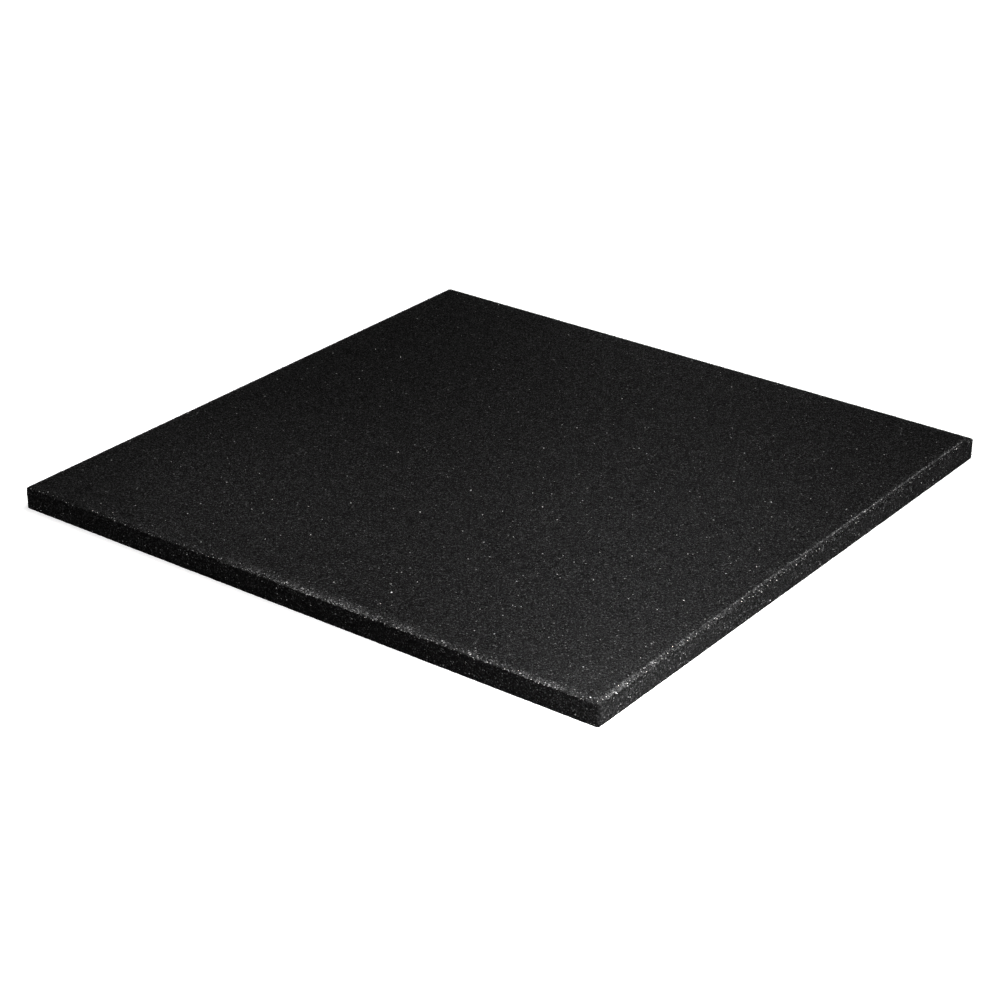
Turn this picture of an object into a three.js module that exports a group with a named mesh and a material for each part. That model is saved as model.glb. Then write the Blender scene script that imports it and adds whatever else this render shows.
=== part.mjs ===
// Rubber gym floor tile: a square of bonded rubber granulate, pressed in one piece.
// Millimetres, +Z up. The origin is the middle of the underside, and the sides lie along X and Y.
import * as THREE from "three";

// Driving dimensions
const sideLength = 1000; // wall to wall, the same both ways
const thickness = 35; // underside to tread
const bevelWidth = 8.5; // how far the bevel reaches in over the tread
const bevelHeight = 3; // how far it falls from the tread to the top of the wall
const wallCornerRadius = 4; // upright corners, seen from above
const treadCornerRadius = 12; // the same corners at the inner end of the bevel
const treadArrisRadius = 10; // rounds the line between tread and bevel
const wallArrisRadius = 2; // rounds the line between bevel and wall
const underEdgeRadius = 1; // eases the lower edge all round

// How finely the round stretches are drawn
const arrisSteps = 4;
const cornerSteps = 8;

const wallTop = thickness - bevelHeight;

// A corner of the edge's section, rounded: the points of an arc that touches both of its sides.
// The radius is held to what half of the shorter side leaves room for.
function roundedCorner(before, corner, after, radius) {
  const toBefore = before.clone().sub(corner);
  const toAfter = after.clone().sub(corner);
  const room = Math.min(toBefore.length(), toAfter.length()) / 2;
  toBefore.normalize();
  toAfter.normalize();
  const halfAngle = Math.acos(toBefore.dot(toAfter)) / 2;
  const touch = Math.min(radius / Math.tan(halfAngle), room);
  const heldRadius = touch * Math.tan(halfAngle);
  const start = corner.clone().addScaledVector(toBefore, touch);
  const inward = toBefore.clone().add(toAfter).normalize();
  const centre = corner.clone().addScaledVector(inward, heldRadius / Math.sin(halfAngle));
  const turn = Math.sign(toAfter.cross(toBefore)) * (Math.PI - 2 * halfAngle);
  return Array.from({ length: arrisSteps + 1 }, (_, step) =>
    start.clone().rotateAround(centre, (turn * step) / arrisSteps),
  );
}

// The edge's section, from the underside up to the tread: x is in from the wall, y is the height.
function edgeSection() {
  const underMiddle = new THREE.Vector2(sideLength / 2, 0);
  const foot = new THREE.Vector2(0, 0);
  const shoulder = new THREE.Vector2(0, wallTop);
  const brow = new THREE.Vector2(bevelWidth, thickness);
  const treadMiddle = new THREE.Vector2(sideLength / 2, thickness);
  return [
    ...roundedCorner(underMiddle, foot, shoulder, underEdgeRadius),
    ...roundedCorner(foot, shoulder, brow, wallArrisRadius),
    ...roundedCorner(shoulder, brow, treadMiddle, treadArrisRadius),
  ];
}

// The tile's outline at one point of the section: a square with round corners, set in from the
// walls. Its corners grow rounder over the bevel.
function outlineAt({ x: inset, y: height }) {
  const shareOfBevel = Math.max(height - wallTop, 0) / bevelHeight;
  const radius = THREE.MathUtils.lerp(wallCornerRadius, treadCornerRadius, shareOfBevel);
  const toCentre = sideLength / 2 - inset - radius;
  const points = [];
  for (const [signX, signY, startAngle] of [
    [1, 1, 0],
    [-1, 1, Math.PI / 2],
    [-1, -1, Math.PI],
    [1, -1, Math.PI * 1.5],
  ]) {
    for (let step = 0; step <= cornerSteps; step++) {
      const angle = startAngle + ((Math.PI / 2) * step) / cornerSteps;
      const x = signX * toCentre + radius * Math.cos(angle);
      const y = signY * toCentre + radius * Math.sin(angle);
      points.push(new THREE.Vector3(x, y, height));
    }
  }
  return points;
}

// Skins a stack of outlines, all with the same number of points, and closes both of its ends.
function skinned(outlines) {
  const count = outlines[0].length;
  const faces = [];
  for (let level = 0; level + 1 < outlines.length; level++) {
    for (let i = 0; i < count; i++) {
      const low = level * count + i;
      const lowNext = level * count + ((i + 1) % count);
      faces.push(low, lowNext, lowNext + count);
      faces.push(low, lowNext + count, low + count);
    }
  }
  const topStart = (outlines.length - 1) * count;
  for (const [a, b, c] of THREE.ShapeUtils.triangulateShape(outlines[0], [])) {
    faces.push(a, c, b);
    faces.push(topStart + a, topStart + b, topStart + c);
  }
  const geometry = new THREE.BufferGeometry().setFromPoints(outlines.flat());
  geometry.setIndex(faces);
  return geometry;
}

const blackRubber = new THREE.MeshStandardMaterial({
  color: 0x242425,
  roughness: 0.7,
  metalness: 0,
  flatShading: true,
});

const tile = new THREE.Mesh(skinned(edgeSection().map(outlineAt)), blackRubber);
tile.name = "rubber_tile";

const floorTile = new THREE.Group();
floorTile.add(tile);

export default floorTile;
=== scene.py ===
# Rubber gym floor tile: one pressed slab of black rubber crumb. The skin is the slab with its
# bevel and uneven faces, and the crumb pieces are the granules that stand a little proud of it.
from itertools import product

import bpy
import numpy as np
from mathutils import Matrix, Vector


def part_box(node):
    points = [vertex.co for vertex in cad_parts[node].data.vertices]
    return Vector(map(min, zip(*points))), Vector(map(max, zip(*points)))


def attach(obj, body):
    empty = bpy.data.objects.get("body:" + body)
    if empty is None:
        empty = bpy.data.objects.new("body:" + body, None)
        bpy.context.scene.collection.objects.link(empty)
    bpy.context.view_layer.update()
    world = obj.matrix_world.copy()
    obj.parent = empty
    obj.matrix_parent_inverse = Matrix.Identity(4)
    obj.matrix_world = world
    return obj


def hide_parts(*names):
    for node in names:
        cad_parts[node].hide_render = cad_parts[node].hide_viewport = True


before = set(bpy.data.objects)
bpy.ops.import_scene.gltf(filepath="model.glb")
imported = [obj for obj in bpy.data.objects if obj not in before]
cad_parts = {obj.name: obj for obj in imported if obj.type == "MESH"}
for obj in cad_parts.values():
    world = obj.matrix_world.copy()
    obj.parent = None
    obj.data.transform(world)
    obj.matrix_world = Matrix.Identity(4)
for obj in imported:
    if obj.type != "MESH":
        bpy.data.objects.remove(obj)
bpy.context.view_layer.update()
tileLow, tileHigh = (np.array(corner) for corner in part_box("rubber_tile"))
side = tileHigh[0] - tileLow[0]
thickness = tileHigh[2] - tileLow[2]
mm = 0.001
print("frame loaded, the tile measures", np.round(tileHigh - tileLow, 4))


# Shader maths

class Wire:
    # one output socket: a sum or product of wires adds the Math or Vector Math node for it
    def __init__(self, finish, socket):
        self.finish = finish
        self.socket = socket

    def maths(self, operation, *terms):
        wires = [term for term in terms if isinstance(term, Wire)]
        asVector = any(wire.socket.type in ("VECTOR", "RGBA") for wire in wires)
        if asVector:  # a bare number counts for all three parts of a vector
            terms = [(term,) * 3 if isinstance(term, (int, float)) else term for term in terms]
        kind = "ShaderNodeVectorMath" if asVector else "ShaderNodeMath"
        outputs = self.finish.node(kind, {"operation": operation}, dict(enumerate(terms)))
        return outputs["Value" if operation == "DOT_PRODUCT" or not asVector else "Vector"]

    def __add__(self, other):
        return self.maths("ADD", self, other)

    def __sub__(self, other):
        return self.maths("SUBTRACT", self, other)

    def __rsub__(self, other):
        return self.maths("SUBTRACT", other, self)

    def __mul__(self, other):
        return self.maths("MULTIPLY", self, other)

    def dot(self, other):
        return self.maths("DOT_PRODUCT", self, other)

    def atMost(self, other):
        return self.maths("MINIMUM", self, other)

    __radd__ = __add__
    __rmul__ = __mul__


class Finish:
    # one material: node() adds a node of any kind, and gives back its outputs as wires
    def __init__(self, name):
        self.material = bpy.data.materials.new(name)
        self.material.use_nodes = True
        self.tree = self.material.node_tree
        self.tree.nodes.clear()

    def node(self, kind, settings=None, inputs=None):
        made = self.tree.nodes.new(kind)
        for key, value in (settings or {}).items():
            setattr(made, key, value)
        for key, value in (inputs or {}).items():
            named = [s for s in made.inputs if s.enabled and s.name == key]
            socket = made.inputs[key] if isinstance(key, int) else named[0]
            if isinstance(value, Wire):
                self.tree.links.new(value.socket, socket)
            else:
                socket.default_value = value
        return {output.name: Wire(self, output) for output in made.outputs if output.enabled}

    def blend(self, factor, low, high):
        inputs = {"Factor": factor, "A": low, "B": high}
        return self.node("ShaderNodeMix", {"data_type": "RGBA"}, inputs)["Result"]

    def relief(self, height):  # height in metres
        return self.node("ShaderNodeBump", {}, {"Strength": 1, "Distance": 1, "Height": height})["Normal"]

    def shade(self, **sockets):
        shader = self.node("ShaderNodeBsdfPrincipled", {}, sockets)["BSDF"]
        self.node("ShaderNodeOutputMaterial", {}, {"Surface": shader})
        return self.material


# Numbers by chance, and how surfaces are made

def lottery(cells, seed):
    # a number from 0 to 1 for each whole-numbered cell: its indices times large primes, added
    # up with the seed, then twice shifted onto themselves and multiplied
    primes = np.array([0x8DA6B343, 0xD8163841, 0xCB1AB31F], np.uint64)
    seedPrime, lastShift, low32 = 0x9E3779B9, np.uint64(15), np.uint64(0xFFFFFFFF)
    h = (cells.astype(np.int64).astype(np.uint64) * primes).sum(-1, dtype=np.uint64)
    h = (h + np.uint64(seed * seedPrime)) & low32
    for shift, factor in ((15, 0x2C1B3C6D), (12, 0x297A2D39)):
        h = ((h ^ (h >> np.uint64(shift))) * np.uint64(factor)) & low32
    return (h ^ (h >> lastShift)) / 2.0 ** 32


def rise(points, wavelength, seed):
    # smooth hills from -1 to 1: chance heights on a cubic lattice of that wavelength, blended
    # between its eight corners by 3t^2 - 2t^3
    at = points / wavelength
    corner = np.floor(at)
    share = at - corner
    share = share * share * (3 - 2 * share)
    total = np.zeros(len(points))
    for offset in product((0, 1), repeat=3):
        weight = np.where(offset, share, 1 - share).prod(-1)
        total += weight * (2 * lottery(corner + offset, seed) - 1)
    return total


def unit(vectors):
    # each vector over its length
    return vectors / np.linalg.norm(vectors, axis=-1, keepdims=True)


def normalsOf(points, triangles):
    # each point's normal: the cross products of its triangles' sides, added up
    a, b, c = (points[triangles[:, k]] for k in range(3))
    faceNormals = np.cross(b - a, c - a)
    total = np.zeros_like(points)
    for k in range(3):
        for axis in range(3):
            total[:, axis] += np.bincount(triangles[:, k], faceNormals[:, axis], len(points))
    return unit(total)


def piece(name, points, triangles, uv, finish, smooth, **layers):
    # puts arrays into a mesh object that rides with the tile; uv has a place for each corner, and
    # layers have a number for each point
    mesh = bpy.data.meshes.new(name)
    mesh.vertices.add(len(points))
    mesh.vertices.foreach_set("co", points.astype(np.float32).ravel())
    mesh.loops.add(triangles.size)
    mesh.loops.foreach_set("vertex_index", triangles.astype(np.int32).ravel())
    mesh.polygons.add(len(triangles))
    mesh.polygons.foreach_set("loop_start", np.arange(0, triangles.size, 3, dtype=np.int32))
    mesh.polygons.foreach_set("use_smooth", np.full(len(triangles), smooth))
    mesh.update(calc_edges=True)
    mesh.uv_layers.new(name="OFBake").uv.foreach_set("vector", uv.astype(np.float32).ravel())
    for layerName, numbers in layers.items():
        layer = mesh.attributes.new(layerName, "FLOAT", "POINT")
        layer.data.foreach_set("value", numbers.astype(np.float32))
    mesh.materials.append(finish)
    made = bpy.data.objects.new(name, mesh)
    bpy.context.scene.collection.objects.link(made)
    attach(made, "root")
    print(name, "has", len(triangles), "triangles")
    return made


# The slab's ideal surface, with the sizes that the solid has

slab = {
    "bevelWidth": 8.5 * mm,
    "bevelHeight": 3 * mm,
    "wallCornerRadius": 4 * mm,
    "treadCornerRadius": 12 * mm,
    "treadArrisRadius": 10 * mm,
    "wallArrisRadius": 2 * mm,
    "underEdgeRadius": 1 * mm,
}
wallTop = thickness - slab["bevelHeight"]


def roundedCorner(before, corner, after, radius, steps):
    # the arc that touches both sides of a corner, in the complex plane: its centre lies on the
    # bisector, at the radius over the sine of half the angle
    toBefore = (before - corner) / abs(before - corner)
    toAfter = (after - corner) / abs(after - corner)
    half = abs(np.angle(toAfter / toBefore)) / 2
    bisector = (toBefore + toAfter) / abs(toBefore + toAfter)
    centre = corner + bisector * radius / np.sin(half)
    start = corner + toBefore * radius / np.tan(half) - centre
    end = corner + toAfter * radius / np.tan(half) - centre
    return centre + start * (end / start) ** (np.arange(steps + 1) / steps)


arcSteps = 8


def edgeSection():
    # the edge's section as complex numbers, inset + height * i, from the tread down to the underside
    tread, brow = side / 2 + thickness * 1j, slab["bevelWidth"] + thickness * 1j
    shoulder, foot, under = wallTop * 1j, 0j, side / 2 + 0j
    return np.concatenate([
        roundedCorner(tread, brow, shoulder, slab["treadArrisRadius"], arcSteps),
        roundedCorner(brow, shoulder, foot, slab["wallArrisRadius"], arcSteps),
        roundedCorner(shoulder, foot, under, slab["underEdgeRadius"], arcSteps),
    ])


section = edgeSection()
sectionRun = np.concatenate([[0], np.cumsum(abs(np.diff(section)))])  # run along it at each point
edgeRun = sectionRun[-1]
treadInset = section[0].real


def roundedSquare(xy, halfSide, radius):
    # pulls the corners of a square into quarter discs: a point past the corner's centre keeps its
    # direction from there, and its distance becomes the greater of its two parts
    core = halfSide - radius
    over = np.maximum(abs(xy) - core, 0)
    length = np.maximum(np.hypot(*np.moveaxis(over, -1, 0))[..., None], 1e-12)  # never 0
    reach = over.max(-1, keepdims=True)
    return np.sign(xy) * (np.minimum(abs(xy), core) + over * reach / length)


def squareWalk(around):
    # the point at a share of the way round a square from -1 to 1, anticlockwise from its low corner
    turn = around % 1 * 4
    along = 2 * (turn % 1) - 1
    sides = [(along, -1 + 0 * along), (1 + 0 * along, along), (-along, 1 + 0 * along),
             (-1 + 0 * along, -along)]
    return np.choose(np.floor(turn).astype(int)[..., None], [np.stack(s, -1) for s in sides])


def edgeSurface(around, run):
    # the edge of the slab as a surface of two parameters, the share of the way round it and the
    # run down its section: the section's inset and height there, on a square with round corners
    inset = np.interp(run, sectionRun, section.real)
    height = np.interp(run, sectionRun, section.imag)
    overBevel = np.clip((height - wallTop) / slab["bevelHeight"], 0, 1)
    growth = slab["treadCornerRadius"] - slab["wallCornerRadius"]
    radius = slab["wallCornerRadius"] + growth * overBevel
    halfSide = side / 2 - inset
    xy = roundedSquare(squareWalk(around) * halfSide[..., None], halfSide[..., None], radius[..., None])
    return np.concatenate([xy, height[..., None]], -1)


def edgeNormals(around, run, step=0.2 * mm):
    # across both parameters' directions, each from the difference of two points, and no nearer
    # the start of the run than one step
    run = np.maximum(run, step)
    there = edgeSurface(around + step / side / 4, run) - edgeSurface(around - step / side / 4, run)
    down = edgeSurface(around, run + step / 2) - edgeSurface(around, run - step / 2)
    return unit(np.cross(down, there))


# Wear on the edges and the tread, with painted highlight: the brow and the bevel are made paler where the
# lamps light them, by strengths given round the tile
wearAndHighlightPlan = {
    "browPeak": 3.2 * mm,  # run down the section at which the worn line, with its painted highlight, is strongest
    "browWidth": 1.3 * mm,
    "slopeStart": 0.8 * mm,
    "slopeEnd": 10.1 * mm,  # where the bevel's wear and painted highlight end, at the arris of the wall
    "fade": 0.8 * mm,
    "cutFade": 1 * mm,  # over what run the pressed face turns into the cut wall
    # shares of the way round, and how strong the wear and painted highlight of the brow, which is
    # the upper arris, and of the slope of the bevel are there
    "around": (0, 0.02, 0.0875, 0.1125, 0.1375, 0.1625, 0.1875, 0.2125, 0.2375, 0.25,
               0.26, 0.2875, 0.3125, 0.3375, 0.3875, 0.49, 0.5, 0.6, 1),
    "brow": (0.2, 0.3, 0.35, 1.5, 2.2, 2.1, 1.05, 0.7, 0.62, 0.3,
             0.5, 1.15, 0.65, 1.15, 1.65, 1.5, 0.3, 0.5, 0.2),
    "slope": (0.13, 0.08, 0.15, 0.9, 1.6, 1.6, 0.95, 0.75, 0.7, 0.3,
              0.75, 0.18, 0.35, 0.1, 0.03, 0.04, 0.1, 0.2, 0.1),
    # how much of the brow's wear and painted highlight goes on over the tread
    "rim": (0.5, 0.5, 0.5, 0.5, 0.5, 0.5, 0.5, 0.5, 0.7, 0.5,
            0.2, 0.1, 0.1, 0.1, 0.1, 0.1, 0.2, 0.2, 0.3),
    "rimWidth": 7 * mm,  # the way over which that falls to about a third
    "patch": 0.7,  # how uneven it is
    "patchWidth": 11 * mm,
    "tread": 0.15,  # the tread's wear at the front corner, mostly painted glints where the light falls strongest
}


def wornShare(around, run, points):
    # how worn the edge is, with painted highlight on brow and bevel: the greater of a bell exp(-x^2)
    # over the brow, with a tail exp(x) that goes on over the tread, and a step over the slope. Each is
    # times its strength at that place around the tile, and all of it times patches. On the tread the
    # run is below 0
    brow, slope, rim = (np.interp(around % 1, wearAndHighlightPlan["around"], wearAndHighlightPlan[part])
                        for part in ("brow", "slope", "rim"))
    past = run - wearAndHighlightPlan["browPeak"]
    trail = rim * np.exp(np.minimum(past, 0) / wearAndHighlightPlan["rimWidth"]) * (past < 0)
    bell = np.maximum(np.exp(-(past / wearAndHighlightPlan["browWidth"]) ** 2), trail)
    step = np.clip((run - wearAndHighlightPlan["slopeStart"]) / (2 * wearAndHighlightPlan["fade"]), 0, 1)
    step = step * np.clip((wearAndHighlightPlan["slopeEnd"] - run) / wearAndHighlightPlan["fade"], 0, 1)
    patches = np.maximum(1 + wearAndHighlightPlan["patch"] * rise(points, wearAndHighlightPlan["patchWidth"], 5), 0)
    return np.maximum(bell * brow, step * slope) * patches


def treadWearAndGlints(points):
    # painted glints with some wear: grows with the cube of the way along the diagonal from the back
    # corner to the front, where the light falls strongest, and is no less than the tail of the edge's
    # wear and painted highlight. The share of the way round is squareWalk's inverse
    way = (points[:, 0] - points[:, 1]) / side / 2 + 0.5
    x, y = points[:, 0], points[:, 1]
    out = np.maximum(np.maximum(abs(x), abs(y)), mm)  # never 0
    turns = [(x / out + 1) / 2, (y / out + 3) / 2, (5 - x / out) / 2, (7 - y / out) / 2]
    turn = np.select([y <= -out, x >= out, y >= out], turns[:3], turns[3])
    edge = wornShare(turn / 4, out - (side / 2 - treadInset), points)
    return np.maximum(wearAndHighlightPlan["tread"] * np.clip(way, 0, 1) ** 3, edge)


def cutShare(run):
    # 1 on the wall, which was cut and not pressed, 0 above it, and a straight ramp between
    return np.clip((run - wearAndHighlightPlan["slopeEnd"]) / wearAndHighlightPlan["cutFade"] + 1, 0, 1)


# The skin

skinSizes = {
    "treadCells": 224,  # squares along one side of the tread, a multiple of four
    "bevelRows": 9,
    "wallRows": 11,
    "footRows": 3,
    "underInsets": (6 * mm, 15 * mm, 30 * mm),  # of two rings and the grid on the underside
    "swell": 0.10 * mm,  # how far the broad unevenness rises
    "swellWidth": 40 * mm,
    "ripple": 0.07 * mm,
    "rippleWidth": 9 * mm,
    "grit": 0.10 * mm,  # granule to granule
    "gritWidth": 2.3 * mm,
    "edgeWear": 0.22 * mm,  # extra on the bevel and the wall
    "edgeWearWidth": 4 * mm,
    # middle and half width of the two squares on the map, for tread and edge and for the underside
    "upperMap": (0.4, 0.39),
    "underMap": (0.895, 0.095),
}


def flatGrid(cells, halfSide, radius, height):
    # a square grid with round corners, lying flat
    line = np.linspace(-1, 1, cells + 1)
    xy = np.stack(np.meshgrid(line, line), -1).reshape(-1, 2) * halfSide
    return np.column_stack([roundedSquare(xy, halfSide, radius), np.full(len(xy), height)])


def flatRing(count, halfSide, radius, height):
    # points at even steps round a square with round corners, lying flat
    walk = squareWalk(np.arange(count) / count) * halfSide
    return np.column_stack([roundedSquare(walk, halfSide, radius), np.full(count, height)])


def rimOf(cells):
    # the indices of a grid's outer points, in the order of squareWalk
    i, count = np.arange(cells), cells + 1
    return np.concatenate([i, i * count + cells, cells * count + cells - i, (cells - i) * count])


def gridTriangles(cells):
    # two triangles for each square of a grid, facing up
    a = (np.arange(cells)[:, None] * (cells + 1) + np.arange(cells)).ravel()
    b, c, d = a + 1, a + cells + 2, a + cells + 1
    return np.concatenate([np.stack([a, b, c], 1), np.stack([a, c, d], 1)])


def bandTriangles(outer, inner):
    # two triangles for each square between two rings with as many points
    a, b, c, d = outer, np.roll(outer, -1), np.roll(inner, -1), inner
    return np.concatenate([np.stack([a, b, c], 1), np.stack([a, c, d], 1)])


def halvingTriangles(fine, coarse):
    # three triangles where two steps of an outer ring meet one step of an inner one
    f0, f1, f2 = fine[0::2], fine[1::2], np.roll(fine, -2)[0::2]
    c0, c1 = coarse, np.roll(coarse, -1)
    return np.concatenate([np.stack(t, 1) for t in ((f0, f1, c0), (f1, c1, c0), (f1, f2, c1))])


def skinRelief(points, edge):
    # how far a point of the skin stands out: hills of three widths, and wear on the edge
    s = skinSizes
    out = s["swell"] * rise(points, s["swellWidth"], 1)
    out += s["ripple"] * rise(points, s["rippleWidth"], 2)
    out += s["grit"] * rise(points, s["gritWidth"], 3)
    return out + edge * s["edgeWear"] * rise(points, s["edgeWearWidth"], 4)


def skinMap(points, runs, edgeRings):
    # each point's place on the map: tread and edge unrolled into one square, where a ring lies as
    # far out as its run down the section, and the underside small beside it
    treadHalf = side / 2 - treadInset
    unrolled = points[:, :2].copy()
    for run, ring in zip(runs, edgeRings):
        unrolled[ring] = flatRing(len(ring), treadHalf + run, slab["treadCornerRadius"], 0)[:, :2]
    (upperMiddle, upperHalf), (underMiddle, underHalf) = skinSizes["upperMap"], skinSizes["underMap"]
    upperMap = upperMiddle + upperHalf * unrolled / (treadHalf + edgeRun)
    underMap = underMiddle + underHalf * points[:, :2] / (side / 2)
    return upperMap, underMap


def makeSkin(finish):
    # one closed surface: a grid on the tread, rings with twice its points down the edge, and on
    # the underside rings that halve them until they meet a coarser grid
    s = skinSizes
    cells, underCells = s["treadCells"], s["treadCells"] // 4
    treadHalf = side / 2 - treadInset
    # the wall is upright from where the second arc ends to where the third one starts
    arcEnd, footStart = sectionRun[2 * arcSteps + 1], sectionRun[2 * arcSteps + 2]
    runs = np.concatenate([
        np.linspace(0, arcEnd, s["bevelRows"] + 2)[1:-1],
        np.linspace(arcEnd, footStart, s["wallRows"] + 1)[:-1],
        np.linspace(footStart, edgeRun, s["footRows"] + 1),
    ])
    share = np.arange(8 * cells) / (8 * cells)
    wallRadius, underHalves = slab["wallCornerRadius"], [side / 2 - i for i in s["underInsets"]]
    rings = [edgeSurface(share, np.full(len(share), run)) for run in runs]
    parts = [
        flatGrid(cells, treadHalf, slab["treadCornerRadius"], thickness),
        *rings,
        flatRing(4 * cells, underHalves[0], wallRadius, 0),
        flatRing(2 * cells, underHalves[1], wallRadius, 0),
        flatGrid(underCells, underHalves[2], wallRadius, 0),
    ]
    starts = np.cumsum([0] + [len(part) for part in parts])
    index = [start + np.arange(len(part)) for start, part in zip(starts, parts)]
    edgeRings, underRings = index[1:-3], index[-3:-1]
    upper = [gridTriangles(cells), halvingTriangles(edgeRings[0], rimOf(cells))]
    upper += [bandTriangles(low, high) for high, low in zip(edgeRings, edgeRings[1:])]
    under = [
        halvingTriangles(edgeRings[-1], underRings[0]),
        halvingTriangles(underRings[0], underRings[1]),
        halvingTriangles(underRings[1], starts[-2] + rimOf(underCells)),
        starts[-2] + gridTriangles(underCells),
    ]
    upper, under = np.concatenate(upper), np.concatenate(under)[:, ::-1]
    triangles = np.concatenate([upper, under])
    points = np.concatenate(parts)
    edge = np.zeros(len(points))
    edge[edgeRings[0][0]:edgeRings[-1][0]] = 1
    moved = points + normalsOf(points, triangles) * skinRelief(points, edge)[:, None]
    moved[:, 2] = np.maximum(moved[:, 2], 0)
    upperMap, underMap = skinMap(points, runs, edgeRings)
    uv = np.concatenate([upperMap[upper.ravel()], underMap[under.ravel()]])
    worn, cut = treadWearAndGlints(points) * (points[:, 2] > wallTop), np.zeros(len(points))
    for run, ring in zip(runs, edgeRings):
        worn[ring] = wornShare(share, run, points[ring])
        cut[ring] = cutShare(run)
    return piece("tile_skin", moved, triangles, uv, finish, True, worn=worn, cut=cut)


# The crumb that stands proud

crumbKinds = {
    "coarse_crumb": {"on": "tread", "count": 5500, "width": (2.6 * mm, 3.8 * mm), "seed": 11},
    "medium_crumb": {"on": "tread", "count": 12000, "width": (1.8 * mm, 2.7 * mm), "seed": 12},
    "fine_crumb": {"on": "tread", "count": 12300, "width": (1.2 * mm, 1.9 * mm), "seed": 13},
    "edge_crumb": {"on": "edge", "count": 12300, "width": (1.3 * mm, 2.8 * mm), "seed": 14},
    # the pale ones are pale granules of the rubber, made brighter as painted glints where highlight is
    # painted; those on the bevel are painted glints along its lower arris
    "pale_flecks": {"on": "tread", "count": 420, "width": (0.7 * mm, 1.7 * mm), "seed": 15},
    "pale_edge_flecks": {"on": "edge", "count": 220, "width": (0.7 * mm, 1.2 * mm), "seed": 16},
    "pale_bevel_glints": {"on": "bevel", "count": 250, "width": (0.7 * mm, 1.2 * mm), "seed": 17},
}
crumbBands = {  # from where to where it lies, as runs down the edge's section
    "edge": (0, edgeRun - 3 * mm),
    "bevel": (5.5 * mm, 10.7 * mm),
}
crumbShape = {
    "corners": 5,
    "wobble": 0.3,  # how far a corner strays, in steps from one corner to the next
    "reach": (0.8, 1.2),  # the corners' distances from the middle, in half widths
    "stretch": (1, 1.3),
    "height": (0.10 * mm, 0.38 * mm),
    "rooted": 0.35 * mm,  # how deep its lower ring lies
    "taper": (0.6, 0.85),  # the upper ring against the lower
    "treadLean": 0.07,  # the usual slope of a granule's top
    "edgeLean": 0.22,
}
mapMargin = 0.01  # what a map keeps free at its rim


def scattered(count, width, height, chance):
    # points over a rectangle, one somewhere in each cell of an even grid
    columns = max(round((count * width / height) ** 0.5), 1)
    rows = max(round(count / columns), 1)
    column, row = np.meshgrid(np.arange(columns), np.arange(rows))
    u = (column.ravel() + chance.random(columns * rows)) / columns
    v = (row.ravel() + chance.random(columns * rows)) / rows
    return u * width, v * height


def crumbPlaces(kind, chance):
    # for each granule its middle, the normal there, its place on the map, the wear and painted
    # highlight of the tile there, and how much of a cut wall it is there
    if kind["on"] == "tread":
        treadHalf = side / 2 - treadInset
        x, y = scattered(kind["count"], 2 * treadHalf, 2 * treadHalf, chance)
        flat = np.stack([x, y], -1) - treadHalf
        centre = np.column_stack([flat, np.full(len(flat), thickness)])
        normal = np.tile([0.0, 0.0, 1.0], (len(centre), 1))
        place = 0.5 + (0.5 - mapMargin) * flat / treadHalf
        return centre, normal, place, treadWearAndGlints(centre), np.zeros(len(centre))
    start, end = crumbBands[kind["on"]]
    walk, run = scattered(kind["count"], 4 * side, end - start, chance)
    around, run = walk / side / 4, run + start
    centre = edgeSurface(around, run)
    normal = edgeNormals(around, run)
    strip = np.floor(walk / side)  # the map has four strips, one for each wall
    place = mapMargin + np.stack([(1 - 2 * mapMargin) * (walk / side - strip),
                                  strip / 4 + (0.25 - 2 * mapMargin) * run / edgeRun], -1)
    return centre, normal, place, wornShare(around, run, centre), cutShare(run)


def stubTriangles(corners):
    # the faces of one granule, whose lower ring of corners comes first: a fan on top, two
    # triangles on each side, and a fan below
    k = np.arange(corners)
    after = (k + 1) % corners
    fan = np.arange(1, corners - 1)
    return np.concatenate([
        np.stack([0 * fan + corners, corners + fan, corners + fan + 1], 1),
        np.stack([k, after, corners + after], 1),
        np.stack([k, corners + after, corners + k], 1),
        np.stack([0 * fan, fan + 1, fan], 1),
    ])


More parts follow.
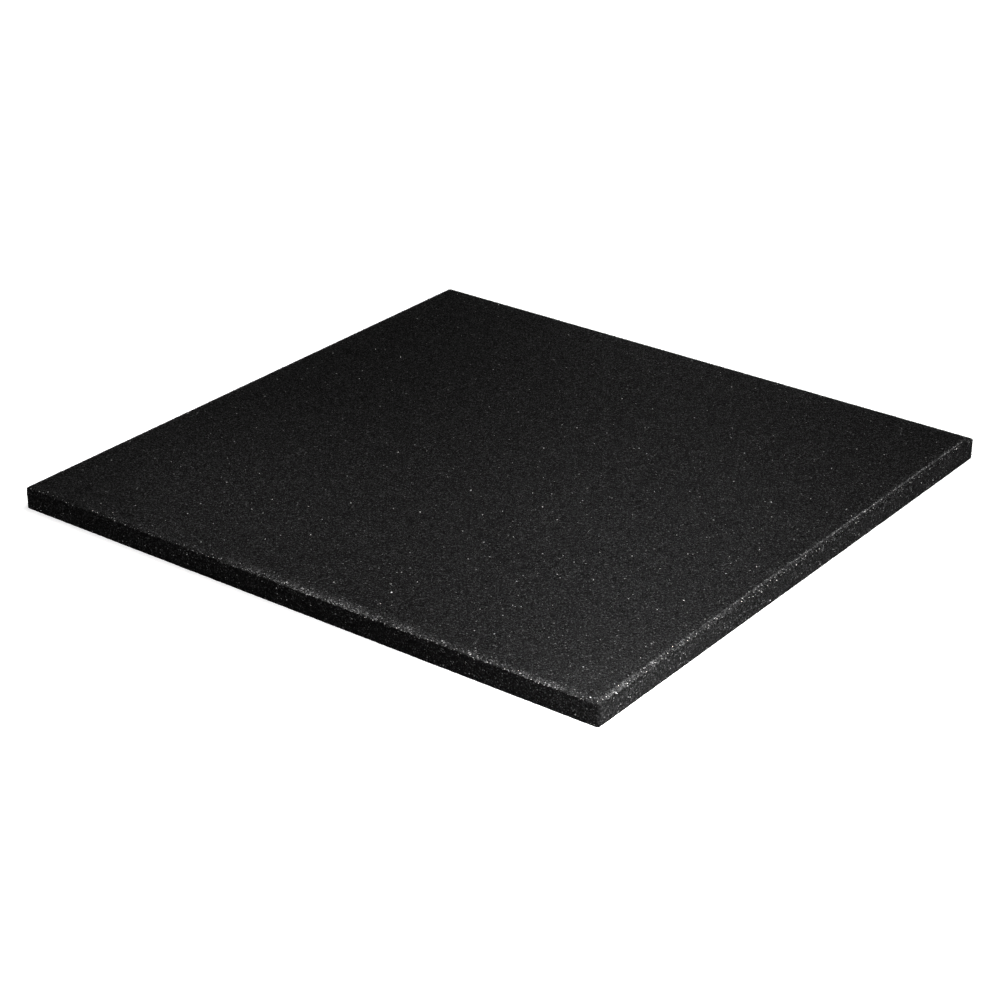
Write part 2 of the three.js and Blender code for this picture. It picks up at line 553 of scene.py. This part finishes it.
def makeCrumb(name, kind, finish):
    # each granule is a lopsided stub: a wide ring of corners under the surface, and a narrower one
    # above it that leans
    chance = np.random.default_rng(kind["seed"])
    shape, corners = crumbShape, crumbShape["corners"]
    centre, normal, place, worn, cut = crumbPlaces(kind, chance)
    onTread, count = kind["on"] == "tread", len(centre)
    lean = shape["treadLean"] if onTread else shape["edgeLean"]

    def draw(low, high, *more):
        return chance.uniform(low, high, (count, *more))

    first = unit(np.cross(normal, unit(chance.normal(size=(count, 3)))))
    second = np.cross(normal, first)
    wobble = draw(-shape["wobble"], shape["wobble"], corners)
    angle = 2 * np.pi * (np.arange(corners) + wobble) / corners
    width = draw(*kind["width"])[:, None]
    reach = width / 2 * draw(*shape["reach"], corners)
    stretch = draw(*shape["stretch"])[:, None]
    across, along = reach * np.cos(angle) * stretch, reach * np.sin(angle) / stretch
    taper = draw(*shape["taper"])[:, None]
    slope = chance.normal(0, lean, (count, 2, 1))
    top = draw(*shape["height"])[:, None] * width / kind["width"][1]
    top = top + taper * (slope[:, 0] * across + slope[:, 1] * along)
    across = np.concatenate([across, across * taper], 1)[..., None]
    along = np.concatenate([along, along * taper], 1)[..., None]
    up = np.concatenate([np.full_like(top, -shape["rooted"]), top], 1)[..., None]
    reaches = first[:, None] * across + second[:, None] * along + normal[:, None] * up
    points = (centre[:, None] + reaches).reshape(-1, 3)
    triangles = stubTriangles(corners) + 2 * corners * np.arange(count)[:, None, None]
    triangles = triangles.reshape(-1, 3)
    local = np.concatenate([across, along], -1) / side * (1 if onTread else (1, 4))
    uv = (place[:, None] + local).reshape(-1, 2)
    layers = {"tone": chance.random(count), "worn": worn, "cut": cut}
    layers = {layerName: np.repeat(numbers, 2 * corners) for layerName, numbers in layers.items()}
    return piece(name, points, triangles, uv[triangles.ravel()], finish, False, **layers)


# Finishes

pressedCrumb = {
    "granule": 1.5 * mm,  # width of the granules that the skin is pressed from
    "lean": 0.12,  # slope of the face of any granule, at most
    "tipped": 1.1,  # and more for the few that were pressed in aslant
    "gap": 0.06 * mm,  # depth of the gaps between them
    "gapWidth": 0.10,  # in granules
    "grain": 0.02 * mm,
    "grainWidth": 0.4 * mm,
    "patchWidth": 45 * mm,  # the tone drifts over the slab in patches of this width
    "patch": 0.3,
    "dark": (0.0005, 0.0005, 0.00051, 1),
    "pale": (0.8, 0.8, 0.8, 1),
    "spread": 0.0034,  # how far a usual granule is from dark to pale
    "wornSpread": 0.056,  # and more of it where the tile is worn and where highlight is painted, and on the cut walls
    "cutSpread": 0.00145,
    "pitShading": 13,  # painted shade in the pits of the cut walls and painted light on their bumps: how far the tone swings
    "pitShadingWidth": 2.2 * mm,
    "shine": 0.02,
    "dull": 0.85,  # roughness of most granules, and of the glossiest
    "glossy": 0.25,
    "sheen": 0.2,  # mean weight of the binder's film
    "filmRoughness": 0.7,
    "cutSheen": 1,  # how much of the film is missing on the cut walls
    "wornSheen": 0.35,  # and how much of it for each step of wear and painted highlight
}
# the flecks' finish: where wear and painted highlight are strong they turn near white, as painted glints
fleckStoneAndGlints = dict(pressedCrumb, dark=(0.2, 0.2, 0.195, 1), pale=(0.9, 0.89, 0.87, 1), spread=0.25,
                  wornSpread=9)


def cloud(finish, place, width, detail=2):
    # smooth noise from 0 to 1, with about one hill to each width
    look = {"Vector": place, "Scale": 1 / width, "Detail": detail, "Roughness": 0.6}
    return finish.node("ShaderNodeTexNoise", {}, look)["Fac"]


def layerOf(finish, name):
    # the number that the mesh has for each of its points under that name
    return finish.node("ShaderNodeAttribute", {"attribute_name": name})["Fac"]


def crumbShade(finish, place, look, lots, solid, height):
    # lots are three even chances of a granule, and solid is 0 in the gaps, where the tone is darkened
    # as painted shade. The tone goes by 1/sqrt(1 - lot) - 1, next to nothing for most and great for
    # the few, times a spread that grows with wear and with painted highlight, drifts with a broad
    # cloud, and on the cut walls goes up and down with a fine one, as painted shade in pits and painted
    # light on bumps. The second lot to the fourth makes some glossy. The binder's film has the third
    # lot to the fourth times five, whose mean is 1, times the share of it that wear and cutting have
    # left
    drift = cloud(finish, place, look["patchWidth"]) * (2 * look["patch"]) + (1 - look["patch"])
    rare = finish.node("ShaderNodeMath", {"operation": "INVERSE_SQRT"}, {0: 1 - lots[0]})["Value"] - 1
    worn, cut = layerOf(finish, "worn"), layerOf(finish, "cut")
    # painted shade in the pits of the cut walls and painted light on their bumps: a fine cloud swings the
    # tone about 1 there
    pitShading = (cloud(finish, place, look["pitShadingWidth"], 0) - 0.5) * (cut * look["pitShading"]) + 1
    spread = worn * look["wornSpread"] + cut * look["cutSpread"] + look["spread"]
    gloss = lots[1] * lots[1] * lots[1] * lots[1]
    film = lots[2] * lots[2] * lots[2] * lots[2] * 5
    sheen = (1 - cut * look["cutSheen"]) * (1 - (worn * look["wornSheen"]).atMost(1)) * look["sheen"]
    return finish.shade(**{
        # the base colour holds painted highlight on the lit edges and tread, painted shade and light in
        # the pits and bumps of the cut walls, and painted shade in the gaps
        "Base Color": finish.blend((rare * spread * drift * pitShading * solid).atMost(1), look["dark"],
                                   look["pale"]),
        "Roughness": gloss * (look["glossy"] - look["dull"]) + look["dull"],
        "Specular IOR Level": look["shine"],
        "Coat Weight": film * sheen * solid,
        "Coat Roughness": look["filmRoughness"],
        "Normal": finish.relief(height + cloud(finish, place, look["grainWidth"]) * look["grain"]),
    })


def pressedFinish(name, look):
    # granules as cells: each face leans its own way, drops at its rim, and has its own tone. The
    # lean is in proportion to a chance vector c from -1/2 to 1/2, and to its cube for the few
    finish = Finish(name)
    place = finish.node("ShaderNodeTexCoord")["Object"]
    granules = place * (1 / look["granule"])
    cell = finish.node("ShaderNodeTexVoronoi", {"feature": "F1"}, {"Vector": granules, "Scale": 1})
    rim = finish.node("ShaderNodeTexVoronoi", {"feature": "DISTANCE_TO_EDGE"},
                      {"Vector": granules, "Scale": 1})["Distance"]
    # solid is 0 in the gaps between granules; there it also darkens the tone, as painted shade
    solid = (rim * (1 / look["gapWidth"])).atMost(1)
    lots = finish.node("ShaderNodeSeparateColor", {}, {"Color": cell["Color"]})
    c = cell["Color"] - 0.5
    lean = c * (2 * look["lean"]) + c * c * c * (8 * look["tipped"])
    height = (granules - cell["Position"]).dot(lean) * look["granule"] + solid * look["gap"]
    return crumbShade(finish, place, look, list(lots.values()), solid, height)


def looseFinish(name, look):
    # each granule has one lot, and the decimals of two multiples of it serve as the others
    multiples = (1, 37, 101)
    finish = Finish(name)
    place = finish.node("ShaderNodeTexCoord")["Object"]
    lot = layerOf(finish, "tone")
    lots = [finish.node("ShaderNodeMath", {"operation": "FRACT"}, {0: lot * times})["Value"]
            for times in multiples]
    return crumbShade(finish, place, look, lots, 1, 0)


makeSkin(pressedFinish("pressed crumb", pressedCrumb))
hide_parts("rubber_tile")
blackCrumb = looseFinish("loose crumb", pressedCrumb)
paleCrumb = looseFinish("pale flecks and glints", fleckStoneAndGlints)
for name, kind in crumbKinds.items():
    makeCrumb(name, kind, paleCrumb if name.startswith("pale") else blackCrumb)
print("tile finished")


# Studio: floor, lights and camera

studio = {
    "floorReach": 40.0,  # metres from the middle to the floor's rim
    "floorColour": (0.6, 0.6, 0.6, 1),
    "floorRoughness": 0.9,
    "floorShine": 0.2,
    "glow": 0.72,  # the floor is a white table, lit a little from below
    "backdrop": (1, 1, 1, 1),  # seen beyond the floor, without lighting the tile
}
lights = {  # a sun's size is in degrees, a disk's in metres
    "window": {"kind": "SUN", "place": (3.5, 3.5, 8.7), "aim": (0, 0, 0), "size": 60, "power": 2.75},
    "over the middle": {"place": (0.2, 0, 0.5), "aim": (0.17, -0.1, 0), "size": 0.4, "power": 2.9},
    "over the left": {"place": (-0.35, -0.3, 0.4), "aim": (-0.35, -0.28, 0), "size": 0.3, "power": 1.45},
    "behind": {"place": (-0.35, 1, 0.5), "aim": (-0.1, 0.45, 0), "size": 0.5, "power": 1.6},
    "to the right": {"place": (1.4, -0.25, 0.3), "aim": (0.59, -0.15, 0), "size": 0.4, "power": 33},
    "near on the right": {"place": (0.9, -0.4, 0.5), "aim": (0.41, -0.24, 0), "size": 0.3, "power": 1.15},
    "in front": {"place": (0.8, -0.53, 0.2), "aim": (0.48, -0.44, 0.02), "size": 0.2, "power": 6},
    "at the corner": {"place": (0.62, -0.58, 0.2), "aim": (0.48, -0.48, 0.02), "size": 0.15, "power": 1.4},
}
camera = {
    "place": (1.9935, -2.7575, 1.6338),
    "aim": (0.0431, -0.0876, 0.0175),
    "roll": 0.0147,  # radians
    "lens": 91.81,  # millimetres, as is the sensor's width
    "sensor": 36,
}


def lookFrom(place, aim, roll=0):
    # the matrix of a camera or lamp: its -Z axis runs from place to aim, turned by roll about it
    turn = (Vector(aim) - Vector(place)).to_track_quat("-Z", "Y").to_matrix().to_4x4()
    return Matrix.Translation(place) @ turn @ Matrix.Rotation(roll, 4, "Z")


def makeFloor():
    # one square face, whose four corners lie as far out as it reaches
    reach = studio["floorReach"]
    mesh = bpy.data.meshes.new("floor")
    corners = [(-reach, -reach, 0), (reach, -reach, 0), (reach, reach, 0), (-reach, reach, 0)]
    mesh.from_pydata(corners, [], [(0, 1, 2, 3)])
    finish = Finish("floor paint")
    paint = {
        "Base Color": studio["floorColour"],
        "Roughness": studio["floorRoughness"],
        "Specular IOR Level": studio["floorShine"],
        "Emission Color": (1, 1, 1, 1),
        "Emission Strength": studio["glow"],
    }
    mesh.materials.append(finish.shade(**paint))
    floor = bpy.data.objects.new("floor", mesh)
    bpy.context.scene.collection.objects.link(floor)


def makeLights():
    # each lamp looks from its place to its aim. The backdrop is seen but lights nothing
    for name, light in lights.items():
        kind = light.get("kind", "AREA")
        lamp = bpy.data.lights.new(name, kind)
        if kind == "SUN":
            lamp.angle = np.radians(light["size"])
        else:
            lamp.shape = "DISK"
            lamp.size = light["size"]
        lamp.energy = light["power"]
        made = bpy.data.objects.new(name, lamp)
        made.matrix_world = lookFrom(light["place"], light["aim"])
        made.visible_camera = False
        bpy.context.scene.collection.objects.link(made)
    world = bpy.data.worlds.new("studio")
    world.use_nodes = True
    world.node_tree.nodes["Background"].inputs["Color"].default_value = studio["backdrop"]
    bpy.context.scene.world = world
    world.cycles_visibility.diffuse = False
    world.cycles_visibility.glossy = False


def makeCamera():
    seen = bpy.data.cameras.new("camera")
    seen.lens = camera["lens"]
    seen.sensor_width = camera["sensor"]
    made = bpy.data.objects.new("camera", seen)
    made.matrix_world = lookFrom(camera["place"], camera["aim"], camera["roll"])
    bpy.context.scene.collection.objects.link(made)
    bpy.context.scene.camera = made


makeFloor()
makeLights()
makeCamera()
bpy.context.scene.view_settings.view_transform = "Standard"
print("studio set up")
